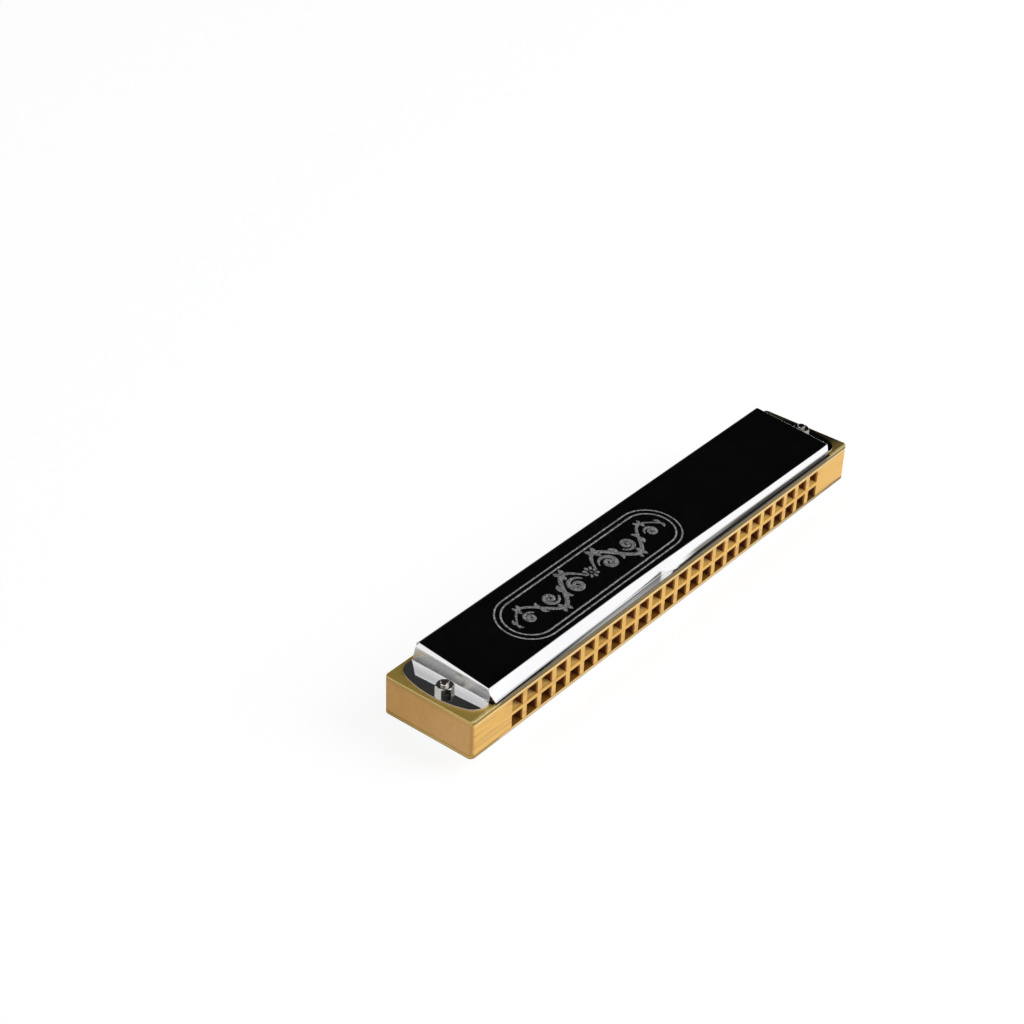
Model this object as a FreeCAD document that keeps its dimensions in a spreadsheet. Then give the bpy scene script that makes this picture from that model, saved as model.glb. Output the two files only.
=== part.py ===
import FreeCAD, Part
import os
import re
import Sketcher

# Tremolo harmonica: a wooden comb between two brass reed plates, under two sheet covers.
# Every piece is built in the comb's own frame: X along the row of holes, -Y out of the mouth holes,
# Z across the plates, with the origin at the middle of the comb. seat() then leans the whole
# harmonica so that the flat of its lower cover lies on the plane Z = 0.

SIZES = {
    # Comb
    "body_length": 178.0,
    "body_depth": 30.0,
    "divider": 1.15,
    "mouth_height": 3.95,
    "mouth_width": 4.42,
    "mouth_roof": 0.95,
    "roof_depth": 1.6,
    "columns": 24,
    "end_block": 15.32,
    "cell_margin": 0.8,
    "corner_radius": 1.4,
    "comb_round": 0.25,
    # Reed plates
    "plate_thick": 1.15,
    "plate_round": 0.3,
    "slot_side_gap": 0.1,
    "slot_tip_gap": 0.15,
    "slot_root": 1.5,
    # Reeds, from the rivet's axis to the tip
    "bass_reed": 16.0,
    "treble_reed": 8.0,
    "reed_width": 2.1,
    "reed_thick": 0.25,
    "reed_gap": 0.06,
    "pad_width": 2.7,
    "pad_back": 1.4,
    "pad_front": 1.3,
    "blow_rivet": 5.6,
    "draw_tip": 6.2,
    # Rivets and nails
    "rivet_radius": 0.5,
    "rivet_head_radius": 0.95,
    "rivet_head_height": 0.35,
    "rivet_play": 0.08,
    "nail_radius": 0.45,
    "nail_head_radius": 0.95,
    "nail_head_height": 0.35,
    "nail_reach": 5.0,
    "nail_tip_gap": 0.2,
    "nail_inset": 12.6,
    "nail_front": 4.6,
    "nail_rear": 25.4,
    "rear_nails": 5,
    "fit_gap": 0.02,
    # Covers
    "sheet_thick": 0.45,
    "cover_inset": 9.4,
    "cover_crest": 2.6,
    "cover_rear": 28.2,
    "front_height": 4.2,
    "front_slope": 69.0,
    "lean": 4.0,
    "bend_radius": 0.9,
    "lip_edge": 0.1,
    "bead_radius": 1.1,
    "bead_sink": 0.05,
    "tab_inset": 1.3,
    "tab_depth": 27.0,
    "tab_arc": 24.0,
    "tab_corner": 2.5,
    "notch_radius": 1.0,
    "notch_height": 2.2,
    # Cover screws and nuts
    "screw_radius": 1.25,
    "screw_play": 0.15,
    "screw_inset": 5.2,
    "screw_setback": 13.7,
    "screw_end": 0.9,
    "screw_end_chamfer": 0.3,
    "screw_head_radius": 2.3,
    "screw_head_height": 1.5,
    "driver_slot_width": 0.7,
    "driver_slot_depth": 0.8,
    "nut_across_flats": 4.5,
    "nut_height": 2.0,
    "nut_bevel_slope": 0.7,
}
TOLERANCE = 1e-6

doc = FreeCAD.newDocument("Harmonica")
sheet = doc.addObject("Spreadsheet::Sheet", "Sizes")
for row, (alias, size) in enumerate(SIZES.items(), start=1):
    sheet.set(f"A{row}", alias)
    sheet.set(f"B{row}", str(size))
    sheet.setAlias(f"B{row}", alias)
doc.recompute()
reading = doc.addObject("App::FeaturePython", "Reading")
reading.addProperty("App::PropertyFloat", "Result")

# Places worked out from the sizes, as formulas.
FRONT = "(-body_depth / 2)"
COMB_TOP = "(mouth_height + (mouth_roof + divider) / 2)"
DIVIDER_TOP = f"({COMB_TOP} - mouth_roof - mouth_height)"
PLATE_TOP = f"({COMB_TOP} + plate_thick)"
TAB_TOP = f"({PLATE_TOP} + sheet_thick)"
COLUMN_PITCH = "((body_length - 2 * end_block) / columns)"
COVER_END = "(body_length / 2 - cover_inset)"
CREST = f"({FRONT} + cover_crest)"
FOOT = f"({CREST} - front_height / tan(front_slope))"
REAR = f"({FRONT} + cover_rear - bead_radius)"
REAR_HEIGHT = f"(front_height + ({REAR} - {CREST}) * tan(lean))"
REST_HEIGHT = f"(({PLATE_TOP} + front_height - {CREST} * tan(lean)) * cos(lean))"
SCREW_X = "(body_length / 2 - screw_inset)"
SCREW_Y = f"({FRONT} + screw_setback)"
NUT_TOP = f"({TAB_TOP} + nut_height)"


def formula(text):
    """The formula with each size's alias looked up in the sheet."""

    def look_up(word):
        return f"Sizes.{word[0]}" if word[0] in SIZES else word[0]

    return re.sub(r"[a-z]+(_[a-z]+)*", look_up, text)


def value(text):
    """The number that a formula gives now, read from a property bound to it."""
    reading.setExpression("Result", formula(text))
    reading.recompute()
    return reading.Result


def bind(item, **formulas):
    for name, text in formulas.items():
        item.setExpression(name, formula(text))
    return item


def put(item, x="0", y="0", z="0"):
    """Places an item of the comb's frame by formulas."""
    for name, text in (("x", x), ("y", y), ("z", z)):
        item.setExpression(f"Placement.Base.{name}", formula(text))
    return item


def seat(item):
    """Leans a finished piece and lifts it, so that the lower cover's flat lies on Z = 0."""
    item.Placement = FreeCAD.Placement(FreeCAD.Vector(), FreeCAD.Rotation(FreeCAD.Vector(1, 0, 0), 1))
    item.setExpression("Placement.Rotation.Angle", formula("lean"))
    return put(item, z=REST_HEIGHT)


def box(name, low, size):
    """A box from its low corner and its size, both given as three formulas."""
    item = bind(doc.addObject("Part::Box", name), Length=size[0], Width=size[1], Height=size[2])
    return put(item, *low)


def cylinder(name, x, y, z, radius, height):
    return put(bind(doc.addObject("Part::Cylinder", name), Radius=radius, Height=height), x, y, z)


def cone(name, x, y, z, radii, height):
    item = doc.addObject("Part::Cone", name)
    return put(bind(item, Radius1=radii[0], Radius2=radii[1], Height=height), x, y, z)


def group(name, items):
    item = doc.addObject("Part::Compound", name)
    item.Links = items
    return item


def fuse(name, items):
    item = doc.addObject("Part::MultiFuse", name)
    item.Shapes = items
    return item


def cut(name, base, tool):
    item = doc.addObject("Part::Cut", name)
    item.Base = base
    item.Tool = tool
    return item


def flipped(name, item, axis):
    """The item mirrored in the comb's middle plane across the axis."""
    copy = doc.addObject("Part::Mirroring", name)
    copy.Source = item
    copy.Normal = axis
    return copy


def seated_twin(name, item):
    """The twin of a seated upper piece, mirrored in the leaning middle plane of the comb."""
    copy = flipped(name, item, FreeCAD.Vector(0, 0, 1))
    copy.setExpression("Normal.y", formula("-sin(lean)"))
    copy.setExpression("Normal.z", formula("cos(lean)"))
    copy.setExpression("Base.z", formula(REST_HEIGHT))
    return copy


def both_sides(name, item):
    return group(name, [item, flipped(f"{name}_below", item, FreeCAD.Vector(0, 0, 1))])


def both_ends(name, item):
    return group(name, [item, flipped(f"{name}_left", item, FreeCAD.Vector(1, 0, 0))])


def outline(body, plane_role, name, corners):
    """A closed sketch of straight lines on one of the body's planes, through corners given as formulas."""
    plane = next(item for item in body.Origin.OriginFeatures if item.Role == plane_role)
    sketch = body.newObject("Sketcher::SketchObject", name)
    sketch.AttachmentSupport = (plane, [""])
    sketch.MapMode = "FlatFace"
    points = [FreeCAD.Vector(value(across), value(up), 0) for across, up in corners]
    for number, point in enumerate(points):
        sketch.addGeometry(Part.LineSegment(point, points[(number + 1) % len(points)]))
    for number in range(len(points)):
        sketch.addConstraint(Sketcher.Constraint("Coincident", number, 2, (number + 1) % len(points), 1))
    for number, (point, texts) in enumerate(zip(points, corners)):
        for kind, place, text in zip(("DistanceX", "DistanceY"), (point.x, point.y), texts):
            index = sketch.addConstraint(Sketcher.Constraint(kind, -1, 1, number, 1, place))
            sketch.setExpression(f"Constraints[{index}]", formula(text))
    return sketch


def edges_where(shape, test):
    """Names of the edges both of whose ends pass the test."""
    return [
        f"Edge{number}"
        for number, edge in enumerate(shape.Edges, start=1)
        if all(test(vertex.Point) for vertex in edge.Vertexes)
    ]


def near(first, second):
    return abs(first - second) < TOLERANCE


def round_edges(body, name, edges, radius):
    """Rounds the named edges of the body's tip."""
    base = body.Tip
    item = body.newObject("PartDesign::Fillet", name)
    item.Base = (base, edges)
    bind(item, Radius=radius)
    doc.recompute()
    return item


def slab(name, bottom, height):
    """A board of the harmonica's outline with rounded corners, in a body of its own."""
    body = doc.addObject("PartDesign::Body", name)
    right, back = "body_length / 2", "body_depth / 2"
    corners = [(f"-{right}", f"-{back}"), (right, f"-{back}"), (right, back), (f"-{right}", back)]
    sketch = outline(body, "XY_Plane", f"{name}_outline", corners)
    pad = body.newObject("PartDesign::Pad", f"{name}_pad")
    pad.Profile = sketch
    bind(pad, Length=height)
    doc.recompute()
    upright = [
        f"Edge{number}"
        for number, edge in enumerate(pad.Shape.Edges, start=1)
        if near(edge.Vertexes[0].X, edge.Vertexes[1].X) and near(edge.Vertexes[0].Y, edge.Vertexes[1].Y)
    ]
    round_edges(body, f"{name}_corners", upright, "corner_radius")
    return put(body, z=bottom)


def column_x(column):
    return f"(({column} - (columns - 1) / 2) * {COLUMN_PITCH})"


def reed_length(column):
    return f"(bass_reed + (treble_reed - bass_reed) * {column} / (columns - 1))"


def is_blow(column):
    """Blow reeds hang inside the comb, draw reeds lie outside, column about."""
    return column % 2 == 0


def rivet_y(column):
    """Blow reeds are held at the mouth end and draw reeds at the rear end."""
    return f"({FRONT} + blow_rivet)" if is_blow(column) else f"({FRONT} + draw_tip + {reed_length(column)})"


def reed_bottom(column):
    return f"({COMB_TOP} - reed_gap - reed_thick)" if is_blow(column) else f"({PLATE_TOP} + reed_gap)"


def nail_spots():
    """Nail places: a row along the back and one nail at each end in front."""
    reach = "(body_length / 2 - nail_inset)"
    rear_y = f"({FRONT} + nail_rear)"
    front_y = f"({FRONT} + nail_front)"
    last = int(value("rear_nails")) - 1
    rear = [(f"({reach} * ({2 * number} / {last} - 1))", rear_y) for number in range(last + 1)]
    return rear + [(f"(-{reach})", front_y), (reach, front_y)]


def nail_holes(name):
    """Cylinders for the nails of one side, from above the plate to below their tips."""
    bottom = f"{PLATE_TOP} - nail_reach - nail_tip_gap"
    height = "nail_reach + nail_tip_gap + plate_thick"
    holes = [
        cylinder(f"{name}_{number}", x, y, bottom, "nail_radius + fit_gap", height)
        for number, (x, y) in enumerate(nail_spots(), start=1)
    ]
    return group(name, holes)


def screw_holes(name):
    """Cylinders for both cover screws, through everything."""
    radius = "screw_radius + screw_play"
    hole = cylinder(f"{name}_right", SCREW_X, SCREW_Y, f"-{NUT_TOP}", radius, f"2 * {NUT_TOP}")
    return both_ends(name, hole)


def make_comb():
    """The wooden comb: two rows of cells that open to the mouth and to the reeds.

    A thin roof bridges the upper cells at the mouth, and the lower cells lie open on their reed plate.
    """
    body = slab("comb_board", f"-{COMB_TOP}", f"2 * {COMB_TOP}")
    height = value(f"2 * {COMB_TOP}")
    rims = edges_where(body.Tip.Shape, lambda p: near(p.z, 0))
    rims += edges_where(body.Tip.Shape, lambda p: near(p.z, height))
    round_edges(body, "comb_board_rims", rims, "comb_round")
    upper_mouths = []
    upper_wells = []
    lower_cells = []
    for column in range(int(value("columns"))):
        left = f"{column_x(column)} - mouth_width / 2"
        before = f"{FRONT} - cell_margin"
        depth = f"(blow_rivet + {reed_length(column)} + slot_tip_gap + cell_margin)"
        mouth_size = ("mouth_width", f"{depth} + cell_margin", "mouth_height")
        upper_mouths.append(box(f"upper_mouth_{column + 1}", (left, before, DIVIDER_TOP), mouth_size))
        well_corner = (left, f"{FRONT} + roof_depth", DIVIDER_TOP)
        well_size = ("mouth_width", f"{depth} - roof_depth", "mouth_height + 2 * mouth_roof")
        upper_wells.append(box(f"upper_well_{column + 1}", well_corner, well_size))
        cell_corner = (left, before, f"-{COMB_TOP} - cell_margin")
        cell_size = ("mouth_width", f"{depth} + cell_margin", "mouth_height + cell_margin")
        lower_cells.append(box(f"lower_cell_{column + 1}", cell_corner, cell_size))
    nail_drills = both_sides("comb_nail_drills", nail_holes("comb_nail_holes"))
    cells = group("comb_cells", upper_mouths + lower_cells)
    drills = group("comb_drills", [nail_drills, cells, screw_holes("comb_screw_hole")])
    drilled = cut("comb_drilled", body, drills)
    return seat(cut("comb", drilled, group("upper_wells", upper_wells)))


def make_upper_plate():
    """The upper reed plate: one slot and one rivet hole for each reed."""
    body = slab("plate_blank", COMB_TOP, "plate_thick")
    thickness = value("plate_thick")
    rim = edges_where(body.Tip.Shape, lambda p: near(p.z, thickness))
    round_edges(body, "plate_blank_rim", rim, "plate_round")
    below = f"{COMB_TOP} - plate_thick"
    through = "3 * plate_thick"
    openings = [nail_holes("plate_nail_holes"), screw_holes("plate_screw_hole")]
    for column in range(int(value("columns"))):
        x = column_x(column)
        y = rivet_y(column)
        tip = f"({reed_length(column)} + slot_tip_gap)"
        start = f"{y} + slot_root" if is_blow(column) else f"{y} - {tip}"
        slot_corner = (f"{x} - reed_width / 2 - slot_side_gap", start, below)
        slot_size = ("reed_width + 2 * slot_side_gap", f"{tip} - slot_root", through)
        openings.append(box(f"slot_{column + 1}", slot_corner, slot_size))
        rivet_hole = cylinder(f"rivet_hole_{column + 1}", x, y, below, "rivet_radius + fit_gap", through)
        openings.append(rivet_hole)
    return seat(cut("upper_reed_plate", body, group("plate_openings", openings)))


def make_upper_reed(column):
    """A reed: a tongue that reaches the tip and a wider pad round the rivet hole."""
    name = f"upper_reed_{column + 1:02d}"
    x = column_x(column)
    y = rivet_y(column)
    bottom = reed_bottom(column)
    tongue_y = y if is_blow(column) else f"{y} - {reed_length(column)}"
    tongue_size = ("reed_width", reed_length(column), "reed_thick")
    tongue = box(f"{name}_tongue", (f"{x} - reed_width / 2", tongue_y, bottom), tongue_size)
    pad_y = f"{y} - pad_back" if is_blow(column) else f"{y} - pad_front"
    pad_size = ("pad_width", "pad_back + pad_front", "reed_thick")
    pad = box(f"{name}_pad", (f"{x} - pad_width / 2", pad_y, bottom), pad_size)
    radius = "rivet_radius + rivet_play"
    hole = cylinder(f"{name}_hole", x, y, f"{bottom} - reed_thick", radius, "3 * reed_thick")
    return seat(cut(name, fuse(f"{name}_strip", [tongue, pad]), hole))


def make_upper_rivets():
    """One rivet for each reed, flush with the plate on one side and with its head over the reed's pad."""
    rivets = []
    for column in range(int(value("columns"))):
        x = column_x(column)
        y = rivet_y(column)
        if is_blow(column):
            head_z = f"({reed_bottom(column)} - reed_gap - rivet_head_height)"
            shank_z = f"({head_z} + rivet_head_height / 2)"
            shank_height = f"{PLATE_TOP} - {shank_z}"
            radii = ("rivet_radius", "rivet_head_radius")
        else:
            head_z = f"({reed_bottom(column)} + reed_thick + reed_gap)"
            shank_z = COMB_TOP
            shank_height = f"{head_z} + rivet_head_height / 2 - {COMB_TOP}"
            radii = ("rivet_head_radius", "rivet_radius")
        shank = cylinder(f"rivet_shank_{column + 1}", x, y, shank_z, "rivet_radius", shank_height)
        head = cone(f"rivet_head_{column + 1}", x, y, head_z, radii, "rivet_head_height")
        rivets.append(fuse(f"rivet_{column + 1}", [shank, head]))
    return seat(group("upper_reed_rivets", rivets))


def make_upper_nails():
    """Round-headed nails that hold the reed plate to the comb."""
    nails = []
    tip = f"{PLATE_TOP} - nail_reach"
    shank_height = "nail_reach + nail_head_height / 2"
    radii = ("nail_head_radius", "nail_radius")
    for number, (x, y) in enumerate(nail_spots(), start=1):
        shank = cylinder(f"nail_shank_{number}", x, y, tip, "nail_radius", shank_height)
        head = cone(f"nail_head_{number}", x, y, PLATE_TOP, radii, "nail_head_height")
        nails.append(fuse(f"nail_{number}", [shank, head]))
    return seat(group("upper_plate_nails", nails))


def make_cover_dome():
    """The raised part of a cover: front slope, leaning top and end walls, open below and behind."""
    body = doc.addObject("PartDesign::Body", "cover_dome")
    corners = [
        (FOOT, PLATE_TOP),
        (CREST, f"{PLATE_TOP} + front_height"),
        (REAR, f"{PLATE_TOP} + {REAR_HEIGHT}"),
        (REAR, PLATE_TOP),
    ]
    pad = body.newObject("PartDesign::Pad", "cover_dome_pad")
    pad.Profile = outline(body, "YZ_Plane", "cover_dome_profile", corners)
    pad.Midplane = True
    bind(pad, Length=f"2 * {COVER_END}")
    doc.recompute()
    end = value(COVER_END)
    foot = value(PLATE_TOP)
    rear = value(REAR)
    above_foot = value(f"{PLATE_TOP} + sheet_thick")
    bends = edges_where(pad.Shape, lambda p: near(abs(p.x), end) and p.y < rear)
    bends += edges_where(pad.Shape, lambda p: p.z > above_foot)
    left_sharp = edges_where(pad.Shape, lambda p: near(p.y, rear))
    left_sharp += edges_where(pad.Shape, lambda p: near(p.z, foot))
    round_edges(body, "cover_dome_bends", sorted(set(bends) - set(left_sharp)), "bend_radius")

    # The hollow keeps the sheet's thickness square to the slope and to the top.
    slope_shift = "(sheet_thick / sin(front_slope))"
    top_drop = f"(sheet_thick / cos(lean) - {slope_shift} * tan(lean))"
    crest_height = f"(front_height - {top_drop} / (1 - tan(lean) / tan(front_slope)))"
    crest = f"({FOOT} + {slope_shift} + {crest_height} / tan(front_slope))"
    behind = f"({REAR} + sheet_thick)"
    below = f"({PLATE_TOP} - sheet_thick)"
    hollow_corners = [
        (f"{FOOT} + {slope_shift} - sheet_thick / tan(front_slope)", below),
        (crest, f"{PLATE_TOP} + {crest_height}"),
        (behind, f"{PLATE_TOP} + {crest_height} + ({behind} - {crest}) * tan(lean)"),
        (behind, below),
    ]
    hollow_profile = outline(body, "YZ_Plane", "cover_hollow_profile", hollow_corners)
    hollow = body.newObject("PartDesign::Pocket", "cover_hollow")
    hollow.Profile = hollow_profile
    hollow.Midplane = True
    bind(hollow, Length=f"2 * ({COVER_END} - sheet_thick)")
    doc.recompute()
    return body


def make_tab():
    """The flat tab at the right end of a cover, bowed at its outer edge."""
    reach = "(cover_inset - tab_inset)"
    inner_end = f"({COVER_END} - sheet_thick / 2)"
    blank_size = (f"{reach} + sheet_thick / 2", "tab_depth", "sheet_thick")
    blank = box("tab_blank", (inner_end, "-tab_depth / 2", PLATE_TOP), blank_size)
    arc_middle = f"{COVER_END} + {reach} - tab_arc"
    arc = cylinder("tab_arc_disc", arc_middle, "0", PLATE_TOP, "tab_arc", "sheet_thick")
    bowed = doc.addObject("Part::MultiCommon", "tab_bowed")
    bowed.Shapes = [blank, arc]
    doc.recompute()
    radius = value("tab_corner")
    past_bend = value(f"{inner_end} + tab_corner")
    thickness = value("sheet_thick")
    corners = [
        (number, radius, radius)
        for number, edge in enumerate(bowed.Shape.Edges, start=1)
        if all(point.X > past_bend for point in edge.Vertexes) and near(edge.Length, thickness)
    ]
    tab = doc.addObject("Part::Fillet", "tab")
    tab.Base = bowed
    tab.Edges = corners
    return tab


def make_bead():
    """The sheet's rear edge, rolled into a small tube under the top."""
    length = f"(2 * ({COVER_END} - bend_radius))"
    z = f"{PLATE_TOP} + {REAR_HEIGHT} - (bead_radius + bead_sink) / cos(lean)"
    rolls = []
    for name, radius in (("bead_outside", "bead_radius"), ("bead_inside", "bead_radius - sheet_thick")):
        roll = bind(doc.addObject("Part::Cylinder", name), Radius=radius, Height=length)
        along_x = FreeCAD.Rotation(FreeCAD.Vector(0, 1, 0), 90)
        roll.Placement = FreeCAD.Placement(FreeCAD.Vector(), along_x)
        rolls.append(put(roll, f"-{length} / 2", REAR, z))
    return cut("cover_bead", *rolls)


def make_upper_cover():
    """A cover: the dome, a lip along the front, a rolled bead behind and a tab at each end."""
    lip_start = f"({FRONT} + lip_edge)"
    lip_size = (f"2 * {COVER_END}", f"{FOOT} + sheet_thick / 2 - {lip_start}", "sheet_thick")
    lip = box("cover_lip", (f"-{COVER_END}", lip_start, PLATE_TOP), lip_size)
    tabs = both_ends("tabs", make_tab())
    sheet_metal = fuse("cover_sheet", [make_cover_dome(), lip, make_bead(), tabs])
    notch_y = f"{FOOT} + notch_radius / 2"
    notch = cone("corner_notch", COVER_END, notch_y, PLATE_TOP, ("notch_radius", "0"), "notch_height")
    notched = cut("cover_with_notches", sheet_metal, both_ends("corner_notches", notch))
    return seat(cut("upper_cover", notched, screw_holes("cover_screw_hole")))


def make_screws():
    """Slotted screws that go up through both covers, with their heads under the lower tabs."""
    head_z = f"(-{TAB_TOP} - screw_head_height)"
    shank_z = f"({head_z} + driver_slot_depth)"
    end_z = f"({NUT_TOP} + screw_end - screw_end_chamfer)"
    end_radii = ("screw_radius", "screw_radius - screw_end_chamfer")
    head = cylinder("screw_head", SCREW_X, SCREW_Y, head_z, "screw_head_radius", "screw_head_height")
    shank = cylinder("screw_shank", SCREW_X, SCREW_Y, shank_z, "screw_radius", f"{end_z} - {shank_z}")
    end = cone("screw_end_bevel", SCREW_X, SCREW_Y, end_z, end_radii, "screw_end_chamfer")
    slot_left = f"{SCREW_X} - screw_head_radius"
    slot_front = f"{SCREW_Y} - driver_slot_width / 2"
    slot_size = ("2 * screw_head_radius", "driver_slot_width", "2 * driver_slot_depth")
    slot = box("driver_slot", (slot_left, slot_front, f"{head_z} - driver_slot_depth"), slot_size)
    screw = cut("right_screw", fuse("screw_blank", [head, shank, end]), slot)
    return seat(both_ends("cover_screws", screw))


def make_nuts():
    """Hexagon nuts on the upper tabs, bevelled at the top corners."""
    half_width = "(nut_across_flats / 2)"
    hexagon = doc.addObject("Part::Prism", "nut_hexagon")
    hexagon.Polygon = 6
    bind(hexagon, Circumradius=f"{half_width} / cos(30)", Height="nut_height")
    put(hexagon, SCREW_X, SCREW_Y, TAB_TOP)
    bevel_radii = (f"{half_width} + nut_height / nut_bevel_slope", half_width)
    bevel = cone("nut_bevel_cone", SCREW_X, SCREW_Y, TAB_TOP, bevel_radii, "nut_height")
    bevelled = doc.addObject("Part::MultiCommon", "nut_bevelled")
    bevelled.Shapes = [hexagon, bevel]
    bore_z = f"{TAB_TOP} - nut_height"
    bore = cylinder("nut_bore", SCREW_X, SCREW_Y, bore_z, "screw_radius + fit_gap", "3 * nut_height")
    return seat(both_ends("cover_nuts", cut("right_nut", bevelled, bore)))


def make_all():
    """All nodes: the upper pieces, their mirrored twins below, and what clamps them together."""
    uppers = [make_upper_plate(), make_upper_cover(), make_upper_rivets(), make_upper_nails()]
    uppers += [make_upper_reed(column) for column in range(int(value("columns")))]
    lowers = [seated_twin(item.Name.replace("upper", "lower"), item) for item in uppers]
    return [make_comb(), make_screws(), make_nuts()] + uppers + lowers


nodes = make_all()
doc.removeObject(reading.Name)
doc.recompute()

failed = [item.Name for item in doc.Objects if "Invalid" in item.State or "Error" in item.State]
failed += [item.Name for item in nodes if item.Shape.isNull() or not item.Shape.isValid()]
if failed:
    raise RuntimeError("these objects failed: " + ", ".join(failed))

os.makedirs("parts", exist_ok=True)
for item in nodes:
    item.Shape.exportStep(f"parts/{item.Label}.step")
print(len(nodes), "nodes written")
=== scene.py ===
import bmesh
import bpy
import math
from mathutils import Euler, Matrix, Vector


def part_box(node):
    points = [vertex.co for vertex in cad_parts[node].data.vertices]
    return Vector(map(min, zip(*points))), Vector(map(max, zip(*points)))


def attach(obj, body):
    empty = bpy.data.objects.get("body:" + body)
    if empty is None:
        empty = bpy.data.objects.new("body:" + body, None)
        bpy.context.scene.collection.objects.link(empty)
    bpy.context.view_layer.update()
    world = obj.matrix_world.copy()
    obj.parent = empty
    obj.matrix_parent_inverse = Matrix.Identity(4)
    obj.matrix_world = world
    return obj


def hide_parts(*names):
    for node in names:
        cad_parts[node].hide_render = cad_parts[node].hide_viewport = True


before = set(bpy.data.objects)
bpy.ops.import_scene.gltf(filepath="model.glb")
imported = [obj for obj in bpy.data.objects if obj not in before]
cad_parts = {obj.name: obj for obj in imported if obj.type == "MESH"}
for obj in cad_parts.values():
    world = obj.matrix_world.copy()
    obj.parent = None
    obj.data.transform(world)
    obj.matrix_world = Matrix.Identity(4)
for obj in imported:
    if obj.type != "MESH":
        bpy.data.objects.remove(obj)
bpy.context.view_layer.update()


# --- The studio ---------------------------------------------------------------------------------
# A white sweep under a broad soft light from the front. Mirror-bright metal sees a white floor and
# horizon, a lit card in front and one at the left, and a near black room above.

CAMERA_PLACE = (-0.4227, -0.3099, 0.3517)
CAMERA_ELEVATION = 31.53
CAMERA_AZIMUTH = -50.04
CAMERA_ROLL = -1.52
CAMERA_LENS = 77.27
CAMERA_CLIP = 0.01
SOFTBOX_PLACE = (0.5, -0.9, 0.75)
SOFTBOX_TARGET = (0, 0, 0.01)
SOFTBOX_SIZE = 0.9
SOFTBOX_POWER = 9.0
WHITE = (1, 1, 1, 1)
EVEN_LIGHT = 0.5
# The floor's glow, and the patch at the left end that metal sees in shade.
FLOOR_SIZE = 12.0
FLOOR_COLOUR = (0.86, 0.87, 0.89, 1)
FLOOR_GLOW = 1.13
FLOOR_GLOW_SHARE = 0.74
SHADED_FLOOR = (-0.107, 0.034, 0.0)
SHADED_FLOOR_RADII = (0.036, 0.016)
SHADED_FLOOR_GLOW = 0.30
# Where each part of the room ends or begins, as a range of the direction's X, Y or Z.
HORIZON_TOP = (0.08, 0.24)
BACK_WALL_Y = (0.40, 0.46)
FRONT_CARD_Y = (0.06, -0.08)
FRONT_CARD_RIGHT = (0.715, 0.60)
FRONT_CARD_LEFT = (-0.35, -0.05)
LEFT_CARD_RIGHT = (0.30, -0.10)
LEFT_CARD_FRONT = (-0.15, 0.15)
DIM_ROW_Z = (0.575, 0.635)
BRIGHT_ROW_Z = (0.64, 0.68)


def add_node(tree, kind, inputs=None, **settings):
    """Adds a shader node, and sets or links its inputs, given by name or number."""
    node = tree.nodes.new(kind)
    for name, setting in settings.items():
        setattr(node, name, setting)
    for socket, source in (inputs or {}).items():
        if isinstance(source, bpy.types.NodeSocket):
            tree.links.new(source, node.inputs[socket])
        else:
            node.inputs[socket].default_value = source
    return node


def calculate(tree, operation, first, second=0.0, third=0.0):
    """A Math node's output."""
    inputs = {0: first, 1: second, 2: third}
    return add_node(tree, "ShaderNodeMath", inputs, operation=operation).outputs[0]


def multiply(tree, *factors):
    """The product of several masks."""
    product = factors[0]
    for factor in factors[1:]:
        product = calculate(tree, "MULTIPLY", product, factor)
    return product


def rescale(tree, number, low, high, new_low=0.0, new_high=1.0):
    """A number smoothly mapped from one range to another."""
    inputs = {"Value": number, "From Min": low, "From Max": high, "To Min": new_low, "To Max": new_high}
    return add_node(tree, "ShaderNodeMapRange", inputs, interpolation_type="SMOOTHSTEP").outputs[0]


def make_floor():
    """A pale floor that keeps the soft shadow and reads as white in the view.

    Mirror-bright metal sees it white as well, apart from one shaded patch.
    """
    material = bpy.data.materials.new("studio_floor")
    material.use_nodes = True
    tree = material.node_tree
    tree.nodes.clear()
    path = add_node(tree, "ShaderNodeLightPath").outputs
    seen = calculate(tree, "MAXIMUM", path["Is Camera Ray"], path["Is Glossy Ray"])
    lit = add_node(tree, "ShaderNodeBsdfDiffuse", {"Color": FLOOR_COLOUR}).outputs[0]
    place = add_node(tree, "ShaderNodeTexCoord").outputs["Object"]
    reach = add_node(tree, "ShaderNodeVectorMath", {0: place, 1: SHADED_FLOOR}, operation="DISTANCE")
    near_patch = rescale(tree, reach.outputs["Value"], *SHADED_FLOOR_RADII)
    shaded = multiply(tree, near_patch, path["Is Glossy Ray"])
    strength = rescale(tree, shaded, 0.0, 1.0, FLOOR_GLOW, FLOOR_GLOW * SHADED_FLOOR_GLOW)
    glow = add_node(tree, "ShaderNodeEmission", {"Color": WHITE, "Strength": strength}).outputs[0]
    share = multiply(tree, seen, FLOOR_GLOW_SHARE)
    mixed = add_node(tree, "ShaderNodeMixShader", {0: share, 1: lit, 2: glow}).outputs[0]
    add_node(tree, "ShaderNodeOutputMaterial", {"Surface": mixed})
    shape = bmesh.new()
    bmesh.ops.create_grid(shape, x_segments=1, y_segments=1, size=FLOOR_SIZE)
    mesh = bpy.data.meshes.new("studio_floor")
    shape.to_mesh(mesh)
    shape.free()
    mesh.materials.append(material)
    floor = bpy.data.objects.new("studio_floor", mesh)
    bpy.context.scene.collection.objects.link(floor)


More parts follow.
